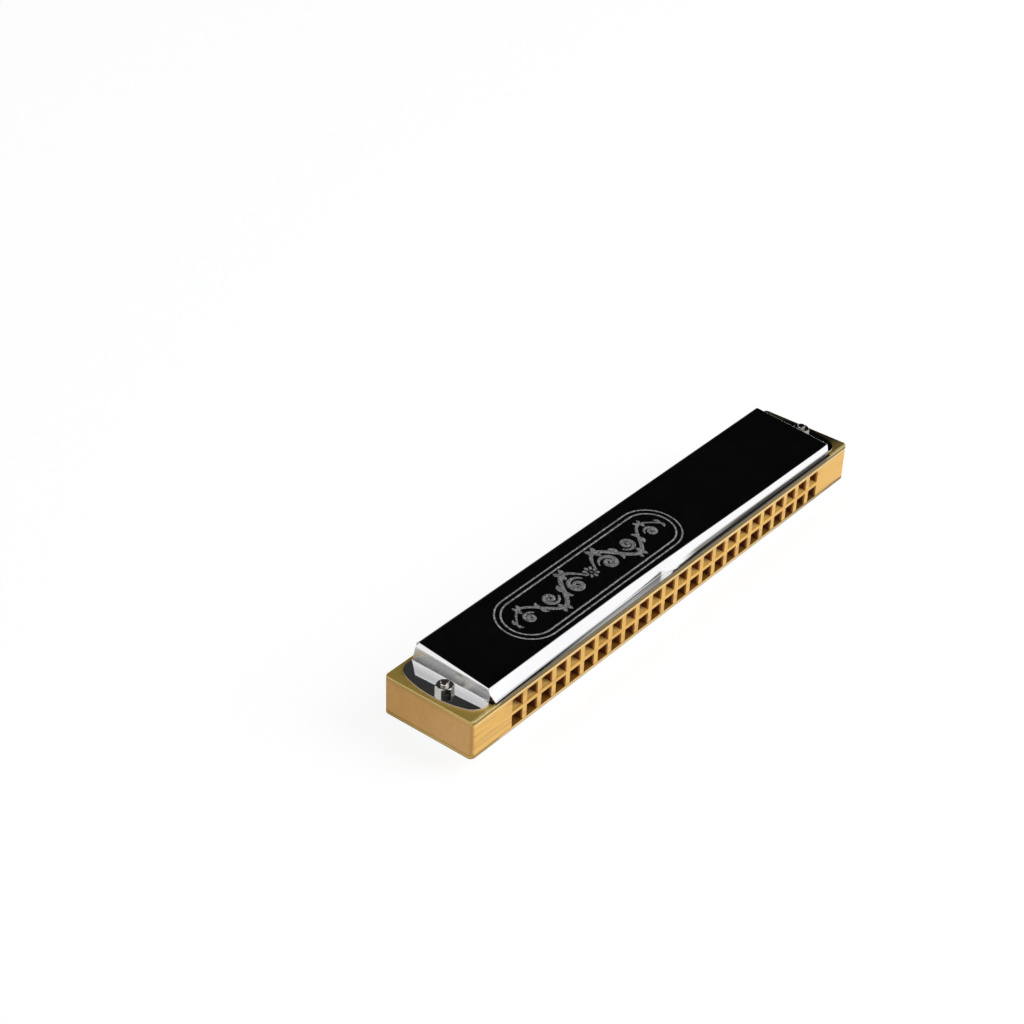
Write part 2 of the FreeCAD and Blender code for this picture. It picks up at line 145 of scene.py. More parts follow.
def light_cards(tree, axes):
    """The two cards: one in front, and one at the left in a dim and a bright row."""
    front_card = multiply(
        tree,
        rescale(tree, axes["Y"], *FRONT_CARD_Y, 0.0, 0.9),
        rescale(tree, axes["X"], *FRONT_CARD_RIGHT, 0.12, 1.0),
        rescale(tree, axes["X"], *FRONT_CARD_LEFT),
    )
    dim_row = rescale(tree, axes["Z"], *DIM_ROW_Z, 0.04, 0.30)
    bright_row = rescale(tree, axes["Z"], *BRIGHT_ROW_Z)
    left_card = multiply(
        tree,
        rescale(tree, axes["X"], *LEFT_CARD_RIGHT, 0.0, 0.9),
        calculate(tree, "MAXIMUM", dim_row, bright_row),
        rescale(tree, axes["Y"], *LEFT_CARD_FRONT, 0.04, 1.0),
    )
    return calculate(tree, "MAXIMUM", front_card, left_card)


def make_world():
    """White for the camera, an even light for matt surfaces, and a dark room with cards for metal."""
    world = bpy.data.worlds.new("studio")
    bpy.context.scene.world = world
    world.use_nodes = True
    tree = world.node_tree
    tree.nodes.clear()
    path = add_node(tree, "ShaderNodeLightPath").outputs
    direction = add_node(tree, "ShaderNodeTexCoord").outputs["Generated"]
    axes = add_node(tree, "ShaderNodeSeparateXYZ", {0: direction}).outputs
    horizon = rescale(tree, axes["Z"], *HORIZON_TOP, 1.0, 0.0)
    room = calculate(tree, "MAXIMUM", horizon, light_cards(tree, axes))
    back_wall = rescale(tree, axes["Y"], *BACK_WALL_Y, 0.002, 0.032)
    in_metal = multiply(tree, path["Is Glossy Ray"], calculate(tree, "MAXIMUM", room, back_wall))
    matt = calculate(tree, "SUBTRACT", 1.0, path["Is Glossy Ray"])
    even = calculate(tree, "MULTIPLY_ADD", matt, EVEN_LIGHT, in_metal)
    seen = calculate(tree, "MAXIMUM", even, path["Is Camera Ray"])
    glow = add_node(tree, "ShaderNodeBackground", {"Color": WHITE, "Strength": seen}).outputs[0]
    add_node(tree, "ShaderNodeOutputWorld", {"Surface": glow})


def add_softbox():
    """A square area lamp aimed at the object, hidden from mirror-bright metal."""
    lamp = bpy.data.lights.new("front_softbox", "AREA")
    lamp.size = SOFTBOX_SIZE
    lamp.energy = SOFTBOX_POWER
    softbox = bpy.data.objects.new("front_softbox", lamp)
    softbox.location = SOFTBOX_PLACE
    aim = Vector(SOFTBOX_TARGET) - Vector(SOFTBOX_PLACE)
    softbox.rotation_euler = aim.to_track_quat("-Z", "Y").to_euler()
    softbox.visible_glossy = False
    bpy.context.scene.collection.objects.link(softbox)


def make_camera():
    """The camera, in front of the left end and looking down along the cover."""
    lens = bpy.data.cameras.new("camera")
    lens.lens = CAMERA_LENS
    lens.clip_start = CAMERA_CLIP
    camera = bpy.data.objects.new("camera", lens)
    tilt = math.radians(90 - CAMERA_ELEVATION)
    aim = Euler((tilt, 0, math.radians(CAMERA_AZIMUTH))).to_matrix()
    turned = aim @ Matrix.Rotation(math.radians(CAMERA_ROLL), 3, "Z")
    camera.matrix_world = Matrix.Translation(CAMERA_PLACE) @ turned.to_4x4()
    bpy.context.scene.collection.objects.link(camera)
    bpy.context.scene.camera = camera


make_floor()
make_world()
make_camera()
add_softbox()
bpy.context.scene.view_settings.view_transform = "Standard"


# --- The comb -----------------------------------------------------------------------------------
# One board of pale hardwood, milled with two rows of cells and varnished to a honey colour. The
# grain runs along the row of holes, and the sawn ends drink the varnish and stay browner.

COMB_LEAN = math.radians(4.0)
COMB_FRONT = -0.01422
COMB_MIDDLE = 0.01116
ALONG = (1, 0, 0)
INWARD = (0, math.cos(COMB_LEAN), math.sin(COMB_LEAN))
UPWARD = (0, -math.sin(COMB_LEAN), math.cos(COMB_LEAN))
# Waves per metre of each mark in the wood, along X, Y and Z.
GRAIN_WAVES = (28, 420, 520)
STREAK_WAVES = (17, 130, 300)
PORE_WAVES = (260, 2600, 2600)
RING_WAVES = (60, 260, 200)
SPECK_WAVES = (2200, 1500, 900)
# Pale and dark wood along the grain and on the sawn ends, with the marks in each.
GRAIN_COLOURS = ((0.92, 0.55, 0.105, 1), (0.80, 0.42, 0.055, 1))
STREAK_COLOUR = (0.52, 0.25, 0.035, 1)
PORE_COLOUR = (0.42, 0.20, 0.05, 1)
SAWN_COLOURS = ((0.84, 0.46, 0.12, 1), (0.66, 0.33, 0.067, 1))
SPECK_COLOUR = (0.44, 0.23, 0.08, 1)
CORNER_COLOUR = (0.40, 0.19, 0.05, 1)
# A painted highlight along the wood's top front arris, just under the plate.
ARRIS_HIGHLIGHT_COLOUR = (1.0, 0.80, 0.38, 1)
ARRIS_HIGHLIGHT_HEIGHT = (0.0044, 0.0047)
# The cells lie between the solid ends. Painted light makes their floors pale, and painted shade darkens
# their walls.
CELLS_END = (0.0760, 0.0755)
CELL_FLOOR_LIGHT_COLOUR = (1.0, 0.66, 0.22, 1)
CELL_WALL_SHADE_COLOURS = ((0.19, 0.032, 0.0012, 1), (0.105, 0.012, 0.0006, 1))
CELL_SHADE_STRENGTH = 0.97
VARNISH = 0.25
VARNISH_HAZE = 0.25


def new_material(name):
    """A material, its node tree and its shader."""
    material = bpy.data.materials.new(name)
    material.use_nodes = True
    return material, material.node_tree, material.node_tree.nodes["Principled BSDF"]


def feed(tree, shader, sources):
    """Links or sets the shader's sockets."""
    for socket, source in sources.items():
        if isinstance(source, bpy.types.NodeSocket):
            tree.links.new(source, shader.inputs[socket])
        else:
            shader.inputs[socket].default_value = source


def finish_node(node, material):
    """Gives a CAD node its finish."""
    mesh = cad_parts[node].data
    mesh.materials.clear()
    mesh.materials.append(material)


def mix_colours(tree, share, first, second):
    """The first colour, turning into the second as the share goes from 0 to 1."""
    inputs = {0: share, 6: first, 7: second}
    return add_node(tree, "ShaderNodeMix", inputs, data_type="RGBA").outputs[2]


def lay_over(tree, under, mask, strength, colour):
    """A colour laid over another one where a mask is, at a strength from 0 to 1."""
    return mix_colours(tree, multiply(tree, mask, strength), under, colour)


def object_place(tree, scale):
    """Object coordinates, stretched by a scale in waves per metre."""
    coordinates = add_node(tree, "ShaderNodeTexCoord").outputs["Object"]
    return add_node(tree, "ShaderNodeMapping", {"Vector": coordinates, "Scale": scale}).outputs[0]


def noise(tree, place, detail, roughness=0.5, distortion=0.0):
    """A noise value, one wave to one unit of the place given."""
    inputs = {"Vector": place, "Scale": 1.0, "Detail": detail, "Roughness": roughness}
    inputs["Distortion"] = distortion
    return add_node(tree, "ShaderNodeTexNoise", inputs).outputs[0]


def normal_axes(tree):
    """The surface normal's X, Y and Z."""
    normal = add_node(tree, "ShaderNodeTexCoord").outputs["Normal"]
    return add_node(tree, "ShaderNodeSeparateXYZ", {0: normal}).outputs


def facing(tree):
    """How far the surface faces along each axis, from 0 to 1."""
    axes = normal_axes(tree)
    return [calculate(tree, "ABSOLUTE", axes[name]) for name in "XYZ"]


def measure_along(tree, direction):
    """How far a point lies along a direction, in metres."""
    place = add_node(tree, "ShaderNodeTexCoord").outputs["Object"]
    inputs = {0: place, 1: direction}
    return add_node(tree, "ShaderNodeVectorMath", inputs, operation="DOT_PRODUCT").outputs["Value"]


def height_over_comb(tree):
    """How far a point lies over the comb's middle plane, in metres."""
    return calculate(tree, "SUBTRACT", measure_along(tree, UPWARD), COMB_MIDDLE)


def make_bump(tree, relief, strength, depth):
    """A relief in the finish, as a normal."""
    inputs = {"Strength": strength, "Distance": depth, "Height": relief}
    return add_node(tree, "ShaderNodeBump", inputs).outputs[0]


def grain_colour(tree, along, pores):
    """Wood along the grain, with broad darker streaks and short pores."""
    streak = noise(tree, object_place(tree, STREAK_WAVES), 3.0, 0.6, 1.8)
    grain = mix_colours(tree, along, *GRAIN_COLOURS)
    grain = lay_over(tree, grain, rescale(tree, streak, 0.50, 0.64), 0.62, STREAK_COLOUR)
    return lay_over(tree, grain, pores, 0.25, PORE_COLOUR)


def sawn_colour(tree, rings):
    """Wood across the grain, with its specks."""
    specks = noise(tree, object_place(tree, SPECK_WAVES), 2.0, 0.6)
    sawn = mix_colours(tree, rings, *SAWN_COLOURS)
    return lay_over(tree, sawn, rescale(tree, specks, 0.55, 0.72), 0.2, SPECK_COLOUR)


def make_wood():
    """Varnished hardwood, with darker upright corners, a painted highlight on the top front arris, and
    painted light and shade in the cells.
    """
    material, tree, shader = new_material("varnished_hardwood")
    along = noise(tree, object_place(tree, GRAIN_WAVES), 4.0, 0.6, 0.4)
    pores = rescale(tree, noise(tree, object_place(tree, PORE_WAVES), 2.0), 0.60, 0.72)
    rings = noise(tree, object_place(tree, RING_WAVES), 4.0, 0.6, 1.0)
    x_facing, y_facing, _ = facing(tree)
    on_end = rescale(tree, x_facing, 0.35, 0.85)
    colour = mix_colours(tree, on_end, grain_colour(tree, along, pores), sawn_colour(tree, rings))
    corner = multiply(tree, rescale(tree, x_facing, 0.25, 0.6), rescale(tree, y_facing, 0.25, 0.6))
    colour = lay_over(tree, colour, corner, 0.55, CORNER_COLOUR)
    depth = measure_along(tree, INWARD)
    at_front = rescale(tree, depth, COMB_FRONT + 0.0004, COMB_FRONT)
    front = multiply(tree, rescale(tree, y_facing, 0.7, 0.95), at_front)
    # Painted highlight: a pale strip along the top of the front.
    top_arris_highlight = multiply(tree, rescale(tree, height_over_comb(tree), *ARRIS_HIGHLIGHT_HEIGHT), front)
    colour = lay_over(tree, colour, top_arris_highlight, 0.85, ARRIS_HIGHLIGHT_COLOUR)
    milled = rescale(tree, depth, COMB_FRONT + 0.0001, COMB_FRONT + 0.0009)
    off_middle = calculate(tree, "ABSOLUTE", measure_along(tree, ALONG))
    inside = multiply(tree, milled, rescale(tree, off_middle, *CELLS_END))
    # Painted light on the cells' upward-facing floors.
    cell_floor = rescale(tree, normal_axes(tree)["Z"], 0.5, 0.8)
    colour = lay_over(tree, colour, multiply(tree, inside, cell_floor), 0.7, CELL_FLOOR_LIGHT_COLOUR)
    # Painted shade on the cells' walls, which also carry less varnish.
    cell_wall = rescale(tree, cell_floor, 0.0, 1.0, 1.0, 0.0)
    cell_shade = multiply(tree, inside, cell_wall, CELL_SHADE_STRENGTH)
    colour = mix_colours(tree, cell_shade, colour, mix_colours(tree, rings, *CELL_WALL_SHADE_COLOURS))
    coat = calculate(tree, "MULTIPLY_ADD", cell_shade, -VARNISH, VARNISH)
    rough = calculate(tree, "MULTIPLY_ADD", cell_shade, 0.35, rescale(tree, along, 0.2, 0.8, 0.38, 0.52))
    relief = calculate(tree, "ADD", multiply(tree, along, 0.6), multiply(tree, pores, -0.4))
    bump = make_bump(tree, relief, 0.35, 0.00006)
    feed(tree, shader, {"Base Color": colour, "Roughness": rough, "Normal": bump, "Coat Weight": coat})
    feed(tree, shader, {"Coat Roughness": VARNISH_HAZE})
    return material


finish_node("comb", make_wood())


# --- The reed plates ----------------------------------------------------------------------------
# Two sheets of rolled brass, punched with a slot for each reed and nailed to the comb. They stand
# bare at both ends and along the front edge, where handling has dulled them.

ROLLING_WAVES = (60, 2200, 2200)
TARNISH_WAVES = (45, 70, 70)
BRASS_METAL = 0.62
EDGE_METAL = 0.35
SCRATCH_COLOUR = (0.75, 0.58, 0.26, 1)
# The sheared ends, with painted shade that darkens them towards the lower plate's underside.
END_COLOUR = (0.64, 0.40, 0.10, 1)
UNDERSIDE_SHADE_COLOUR = (0.10, 0.06, 0.015, 1)
UNDERSIDE_SHADE_HEIGHT = (-0.0055, -0.0060)
# The sheared front edge: a dark line at the comb, a painted highlight low down, golden at the bare ends.
FRONT_COLOUR = (0.15, 0.10, 0.035, 1)
JOINT_COLOUR = (0.045, 0.030, 0.006, 1)
JOINT_HEIGHT = (0.00535, 0.00515)
LOW_EDGE_HIGHLIGHT_COLOUR = (0.80, 0.55, 0.20, 1)
LOW_EDGE_HIGHLIGHT_TOP = (0.001, -0.001)
LOW_EDGE_HIGHLIGHT_FOOT = (-0.0059, -0.0057)
BARE_FRONT_COLOUR = (0.34, 0.20, 0.025, 1)
BARE_ENDS = (0.0768, 0.0790)
# The flats: red-brown in the cells, darkened to the right by painted shade, and near black round the
# right-hand tab with a painted shadow. A painted highlight lies on the front rim and arris at the bare ends.
IN_CELLS_HEIGHT = (0.00509, 0.00503)
IN_CELLS_COLOUR = (0.52, 0.19, 0.02, 1)
RIGHT_SHADE_FROM = (0.03, 0.085)
RIGHT_SHADE_COLOUR = (0.16, 0.115, 0.035, 1)
TAB_SHADOW_FROM = (0.0775, 0.0795)
TAB_SHADOW_COLOUR = (0.025, 0.018, 0.007, 1)
RIM_HIGHLIGHT_COLOUR = (1.0, 0.80, 0.34, 1)
# Painted shade darkens the plate where each end of the cover's lip meets it.
LIP_END = 0.0793
LIP_END_SHADE_COLOUR = (0.012, 0.010, 0.006, 1)


def make_wear_group():
    """Handling marks on bare or plated metal: soft smudges, and hair-fine scratches in two directions."""
    group = bpy.data.node_groups.new("handling_marks", "ShaderNodeTree")
    size = group.interface.new_socket(name="Smudge Size", in_out="INPUT", socket_type="NodeSocketFloat")
    size.default_value = 120.0
    group.interface.new_socket(name="Smudge", in_out="OUTPUT", socket_type="NodeSocketFloat")
    group.interface.new_socket(name="Scratch", in_out="OUTPUT", socket_type="NodeSocketFloat")
    entry = group.nodes.new("NodeGroupInput")
    leave = group.nodes.new("NodeGroupOutput")
    place = add_node(group, "ShaderNodeTexCoord").outputs["Object"]
    inputs = {"Vector": place, "Scale": entry.outputs["Smudge Size"], "Detail": 4.0, "Roughness": 0.6}
    cloud = add_node(group, "ShaderNodeTexNoise", inputs).outputs[0]
    group.links.new(rescale(group, cloud, 0.35, 0.72), leave.inputs["Smudge"])
    lines = []
    for turn, scale in ((0.5, (40, 3000, 3000)), (-0.9, (60, 2400, 2400))):
        inputs = {"Vector": place, "Rotation": (0, 0, turn), "Scale": scale}
        turned = add_node(group, "ShaderNodeMapping", inputs).outputs[0]
        thread = noise(group, turned, 1.0, 0.4)
        off_middle = calculate(group, "ABSOLUTE", calculate(group, "SUBTRACT", thread, 0.5))
        lines.append(rescale(group, off_middle, 0.012, 0.002))
    group.links.new(calculate(group, "MAXIMUM", *lines), leave.inputs["Scratch"])
    return group


handling_marks = make_wear_group()


def wear(tree, smudge_size):
    """The smudges and scratches for one material."""
    node = tree.nodes.new("ShaderNodeGroup")
    node.node_tree = handling_marks
    node.inputs["Smudge Size"].default_value = smudge_size
    return node.outputs["Smudge"], node.outputs["Scratch"]


def from_front(tree, depth, start, end):
    """A mask over the depth behind the comb's front, from a start to an end."""
    return rescale(tree, depth, COMB_FRONT + start, COMB_FRONT + end)


def front_edge_colour(tree, height, bare):
    """The brass of the sheared front edge."""
    joint = rescale(tree, calculate(tree, "ABSOLUTE", height), *JOINT_HEIGHT)
    # A painted highlight low on the front edge, on the lower plate's arris.
    low_edge_highlight = multiply(tree, rescale(tree, height, *LOW_EDGE_HIGHLIGHT_TOP), rescale(tree, height, *LOW_EDGE_HIGHLIGHT_FOOT))
    tint = mix_colours(tree, joint, FRONT_COLOUR, JOINT_COLOUR)
    tint = mix_colours(tree, low_edge_highlight, tint, LOW_EDGE_HIGHLIGHT_COLOUR)
    return lay_over(tree, tint, bare, 0.85, BARE_FRONT_COLOUR)


def make_brass(name, colour, dark, roughness):
    """Rolled brass, with fine marks along the sheet, sheared edges, wear, tarnish clouds, and painted light
    and shade by place.
    """
    material, tree, shader = new_material(name)
    rolled = noise(tree, object_place(tree, ROLLING_WAVES), 2.0)
    cloud = noise(tree, object_place(tree, TARNISH_WAVES), 3.0, 0.6, 0.8)
    smudge, scratch = wear(tree, 160.0)
    x_facing, y_facing, z_facing = facing(tree)
    flat = rescale(tree, z_facing, 0.7, 0.95)
    height = height_over_comb(tree)
    depth = measure_along(tree, INWARD)
    along = measure_along(tree, ALONG)
    off_middle = calculate(tree, "ABSOLUTE", along)
    bare = rescale(tree, off_middle, *BARE_ENDS)

    clouded = multiply(tree, rescale(tree, cloud, 0.35, 0.7), 0.8)
    tint = mix_colours(tree, calculate(tree, "MULTIPLY_ADD", smudge, 0.2, clouded), colour, dark)
    tint = lay_over(tree, tint, scratch, 0.12, SCRATCH_COLOUR)
    # Painted shade darkens the sheared ends towards the lower plate's underside.
    underside_shade = rescale(tree, height, *UNDERSIDE_SHADE_HEIGHT)
    end_colour = mix_colours(tree, underside_shade, END_COLOUR, UNDERSIDE_SHADE_COLOUR)
    tint = lay_over(tree, tint, rescale(tree, x_facing, 0.45, 0.8), 0.9, end_colour)
    front_edge = front_edge_colour(tree, height, bare)
    tint = lay_over(tree, tint, rescale(tree, y_facing, 0.6, 0.9), 0.95, front_edge)

    in_cells = rescale(tree, calculate(tree, "ABSOLUTE", height), *IN_CELLS_HEIGHT)
    tint = lay_over(tree, tint, multiply(tree, in_cells, flat), 0.75, IN_CELLS_COLOUR)
    # Painted shade darkens the flats towards the right.
    tint = lay_over(tree, tint, rescale(tree, along, *RIGHT_SHADE_FROM), 0.68, RIGHT_SHADE_COLOUR)
    # Painted shadow, near black, on the flat round the right-hand tab, behind the cover's end wall.
    behind = from_front(tree, depth, 0.001, 0.006)
    tab_shadow = multiply(tree, rescale(tree, along, *TAB_SHADOW_FROM), behind, flat)
    tint = lay_over(tree, tint, tab_shadow, 0.93, TAB_SHADOW_COLOUR)
    # Painted highlight: a gold line on the front rim and arris where the plates stand bare.
    arris = multiply(tree, rescale(tree, z_facing, 0.97, 0.85), rescale(tree, z_facing, 0.3, 0.5))
    rim = multiply(tree, from_front(tree, depth, 0.0010, 0.0006), flat)
    rim = multiply(tree, calculate(tree, "MAXIMUM", rim, arris), bare)
    tint = lay_over(tree, tint, rim, 0.9, RIM_HIGHLIGHT_COLOUR)
    # Painted shade in the narrow slit at each end of the cover's lip.
    off_lip_end = calculate(tree, "ABSOLUTE", calculate(tree, "SUBTRACT", off_middle, LIP_END))
    shade_mask = multiply(
        tree,
        rescale(tree, off_lip_end, 0.0009, 0.0003),
        from_front(tree, depth, 0.0032, 0.0024),
        from_front(tree, depth, 0.0006, 0.0011),
    )
    tint = lay_over(tree, tint, shade_mask, 0.95, LIP_END_SHADE_COLOUR)

    metal = rescale(tree, flat, 0.0, 1.0, EDGE_METAL, BRASS_METAL)
    rough = rescale(tree, cloud, 0.3, 0.7, roughness, roughness + 0.12)
    bump = make_bump(tree, rolled, 0.25, 0.00002)
    feed(tree, shader, {"Base Color": tint, "Roughness": rough, "Normal": bump, "Metallic": metal})
    return material


plate_brass = make_brass("rolled_brass", (0.68, 0.46, 0.105, 1), (0.53, 0.36, 0.075, 1), 0.34)
finish_node("upper_reed_plate", plate_brass)
finish_node("lower_reed_plate", plate_brass)


# --- The reeds and their rivets ------------------------------------------------------------------
# Strips of springy brass, ground thinner along their length and riveted over their slots, long for
# the low notes on the left and short for the high ones on the right.

reed_brass = make_brass("reed_brass", (0.72, 0.54, 0.20, 1), (0.60, 0.42, 0.14, 1), 0.2)
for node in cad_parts:
    if "_reed_" in node and "plate" not in node:
        finish_node(node, reed_brass)


# --- The plate nails ------------------------------------------------------------------------------
# Small round-headed brass nails, five along the back of each plate and one at each end in front.
# They are driven straight into the comb and hold the plate down on it.

nail_brass = make_brass("nail_brass", (0.66, 0.50, 0.20, 1), (0.50, 0.36, 0.12, 1), 0.3)
finish_node("upper_plate_nails", nail_brass)
finish_node("lower_plate_nails", nail_brass)


# --- The covers -----------------------------------------------------------------------------------
# Thin steel sheet, pressed to shape and chromed: a steep front over a narrow lip, a top that rises
# to the back and rolls over there, and at each end a wall and a flat bowed tab under the screw.

BODY = "harmonica"
MM = 0.001
# Sizes in millimetres, from the middle of the comb.
PLATE_TOP = 6.15
SHEET = 0.45
COVER_END = 79.6
LIP_EDGE = -14.9
LOWER_LIP_EDGE = -14.25
LIP_NOTCH = 0.55
CREST = -12.4
CREST_HEIGHT = 4.2
SLOPE = math.radians(69.0)
COVER_REAR = 12.1
NOTCH = (-12.3, 2.3)
TAB_TOP = PLATE_TOP + SHEET
CREST_TOP = PLATE_TOP + CREST_HEIGHT
TOP_RISE = math.tan(COMB_LEAN)
BEND = 0.16
CREASE = 0.3
BEND_STEPS = 3
BEAD_RADIUS = 1.1
BEAD_TURN = math.radians(300)
BEAD_STEPS = 15
RIM_ROUNDING = 0.07
RIM_ANGLE = math.radians(50)
# Each end's flared band between top and wall: its inner and outer edge at the front and the rear,
# its drop there, the wall's foot at the front and the rear, and how far back the wall reaches.
BASS_BAND = {
    "inner": (79.4, 78.4),
    "outer": (79.75, 79.64),
    "drop": (0.27, 0.85),
    "foot": (79.86, 79.8),
    "rear": 13.4,
}
TREBLE_BAND = {
    "inner": (78.9, 79.6),
    "outer": (79.15, 79.85),
    "drop": (0.5, 0.55),
    "foot": (79.5, 79.7),
    "rear": 13.0,
}
BAND_OVERHANG = 0.3
END_BENDS = (("tip", "corner"), ("corner", "crest"), ("crest", "top_rear"), ("corner", "band_rear"))
# How far the press pushed the front's upper bend out, and its lower crease in, along the cover.
BEND_DRIFT = (
    (-80, 0.0), (-20, -0.1), (0, 0.15), (12, 0.35), (26, 0.65), (42, 0.95), (58, 1.1), (76, 1.35), (80, 1.2),
)
CREASE_DRIFT = (
    (-80, -0.55), (-60, -0.1), (-40, 0.2), (-20, 0.42), (-8, 0.62), (-3.2, 0.75), (-1.2, -0.5), (5, -0.5),
    (10, -0.25), (33, -0.05), (62, -0.2), (76, -0.3), (80, -0.3),
)
BEND_SINK = 0.12
# The end walls, and how far their middles are pressed in.
WALL_SPAN = (79, 80.4)
WALL_FRONT = 0.5
WALL_HOLLOW = 0.035
TAB_REACH = 8.1
TAB_ARC = 30.0
TAB_HALF = 13.5
TAB_CORNER = 3.0
TAB_STEPS = 32
# The flat faces are cut into strips, so that they can follow the press.
LONG_CUTS = 84
SLOPE_CUTS = (7.1, 7.6, 8.2, 8.9, 9.6, 10.3, 11.0)
TOP_CUT = 1.6
# The chrome: its tints, the haze of its pressed ends, and painted shade in the front crease.
CHROME_COLOURS = ((0.94, 0.94, 0.945, 1), (0.87, 0.875, 0.89, 1))
CHROME_WAVES = (40, 70, 70)
SLOPE_HAZE = 0.07
WALL_HAZE = 0.15
CREASE_SHADE_COLOUR = (0.10, 0.09, 0.07, 1)
CREASE_SHADE_HEIGHT = (0.0082, 0.0074)
CREASE_SHADE_DEPTH = (-0.0120, -0.0126)
CREASE_SHADE_FROM = (0.002, 0.012)
# The sheet's sheared edge: a painted highlight on the tabs and the ends of the rolled edge, and painted
# shade elsewhere.
GRIT_WAVES = (900, 900, 3000)
LIT_EDGE_COLOURS = ((0.93, 0.86, 0.74, 1), (0.80, 0.72, 0.60, 1))
SHADED_EDGE_COLOURS = ((0.09, 0.085, 0.07, 1), (0.05, 0.045, 0.04, 1))
TABS_FROM = (0.0800, 0.0806)
ROLLED_EDGE_HEIGHT = (0.0099, 0.0101)

comb_low, comb_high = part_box("comb")
comb_middle = (comb_low + comb_high) / 2
SEAT = Matrix.Translation(comb_middle) @ Matrix.Rotation(COMB_LEAN, 4, "X") @ Matrix.Scale(MM, 4)


def top_height(y):
    """The height of a cover's top over the comb's middle plane, at a depth y."""
    return CREST_TOP + (y - CREST) * TOP_RISE


def slope_depth(z):
    """The depth of the front slope at a height z."""
    return CREST - (CREST_TOP - z) / math.tan(SLOPE)


def place_piece(name, shape, material, slot, *nodes):
    """Seats a shape made in millimetres on the comb, and puts it on the harmonica in the nodes' place."""
    shape.transform(SEAT)
    mesh = bpy.data.meshes.new(name)
    shape.to_mesh(mesh)
    shape.free()
    mesh.materials.append(material)
    for face in mesh.polygons:
        face.use_smooth = True
    piece = bpy.data.objects.new(name, mesh)
    bpy.context.scene.collection.objects.link(piece)
    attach(piece, BODY)
    if nodes:
        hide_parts(*nodes)
    return piece


def edges_between(shape, pairs):
    """The edges that join the pairs of vertices."""
    return [shape.edges.get(pair) or shape.edges.new(pair) for pair in pairs]


def bend_edges(shape, edges, offset):
    """Rounds creases as a press does."""
    bmesh.ops.bevel(
        shape,
        geom=edges,
        offset=offset,
        offset_type="OFFSET",
        segments=BEND_STEPS,
        profile=0.5,
        affect="EDGES",
        clamp_overlap=False,
        material=-1,
    )


def tab_outline(side):
    """Points along a tab's bowed outer edge, from front to back."""
    middle = COVER_END + TAB_REACH - TAB_ARC
    points = []
    for step in range(TAB_STEPS + 1):
        y = TAB_HALF * math.sin(math.pi * (step / TAB_STEPS - 0.5))
        bow = middle + math.sqrt(TAB_ARC**2 - y**2)
        inside = TAB_HALF - abs(y)
        if inside < TAB_CORNER:
            bow -= TAB_CORNER - math.sqrt(TAB_CORNER**2 - (TAB_CORNER - inside) ** 2)
        points.append((side * bow, y, TAB_TOP))
    return points


def end_corners(side, band, lip_edge):
    """The corners of the bent sheet at one end of the cover."""
    inner, outer, drop, foot = (band[key] for key in ("inner", "outer", "drop", "foot"))
    rear_z = top_height(COVER_REAR)
    tip_z = TAB_TOP + NOTCH[1]
    corner_z = CREST_TOP - drop[0]
    tip_x = foot[0] + (outer[0] - foot[0]) * NOTCH[1] / (corner_z - TAB_TOP)
    return {
        "lip": (side * (COVER_END - LIP_NOTCH / 2), lip_edge, TAB_TOP),
        "foot": (side * (COVER_END - LIP_NOTCH), slope_depth(TAB_TOP), TAB_TOP),
        "tip": (side * tip_x, slope_depth(tip_z), tip_z),
        "corner": (side * outer[0], slope_depth(corner_z), corner_z),
        "crest": (side * inner[0], CREST, CREST_TOP),
        "top_rear": (side * inner[1], COVER_REAR, rear_z),
        "band_rear": (side * outer[1], COVER_REAR + BAND_OVERHANG, rear_z - drop[1]),
        "wall_rear": (side * foot[1], band["rear"], TAB_TOP),
        "wall_foot": (side * foot[0], NOTCH[0], TAB_TOP),
    }


def bend_sheet(lip_edge):
    """The bent sheet of the upper cover, as its outer face."""
    shape = bmesh.new()
    ends = []
    for side, band in ((-1, BASS_BAND), (1, TREBLE_BAND)):
        corners = end_corners(side, band, lip_edge)
        end = {name: shape.verts.new(place) for name, place in corners.items()}
        outline = [shape.verts.new(point) for point in tab_outline(side)]
        shape.faces.new([end[name] for name in ("wall_foot", "wall_rear", "band_rear", "corner", "tip")])
        shape.faces.new([end[name] for name in ("crest", "top_rear", "band_rear", "corner")])
        shape.faces.new([end["wall_rear"], end["wall_foot"]] + outline)
        ends.append(end)
    left, right = ends
    front = [left[name] for name in ("foot", "tip", "corner", "crest")]
    front += [right[name] for name in ("crest", "corner", "tip", "foot")]
    shape.faces.new(front)
    shape.faces.new((left["lip"], right["lip"], right["foot"], left["foot"]))
    shape.faces.new((left["crest"], right["crest"], right["top_rear"], left["top_rear"]))
    bends = [(left["crest"], right["crest"])]
    creases = [(left["foot"], right["foot"])]
    for end in ends:
        for first, second in END_BENDS:
            bends.append((end[first], end[second]))
        creases.append((end["wall_foot"], end["wall_rear"]))
    bent_edges = edges_between(shape, bends)
    creased_edges = edges_between(shape, creases)
    bmesh.ops.recalc_face_normals(shape, faces=shape.faces)
    bend_edges(shape, creased_edges, CREASE)
    bend_edges(shape, [edge for edge in bent_edges if edge.is_valid], BEND)
    return shape


def cut_across(shape, place, normal):
    """Cuts every face along a plane, and keeps both sides."""
    everything = shape.verts[:] + shape.edges[:] + shape.faces[:]
    bmesh.ops.bisect_plane(shape, geom=everything, dist=1e-5, plane_co=place, plane_no=normal)


def on_rear_edge(vertex):
    """Whether a vertex lies on the top's rear edge."""
    off_height = abs(vertex.co.z - top_height(COVER_REAR))
    return abs(vertex.co.y - COVER_REAR) < 0.01 and off_height < 0.01


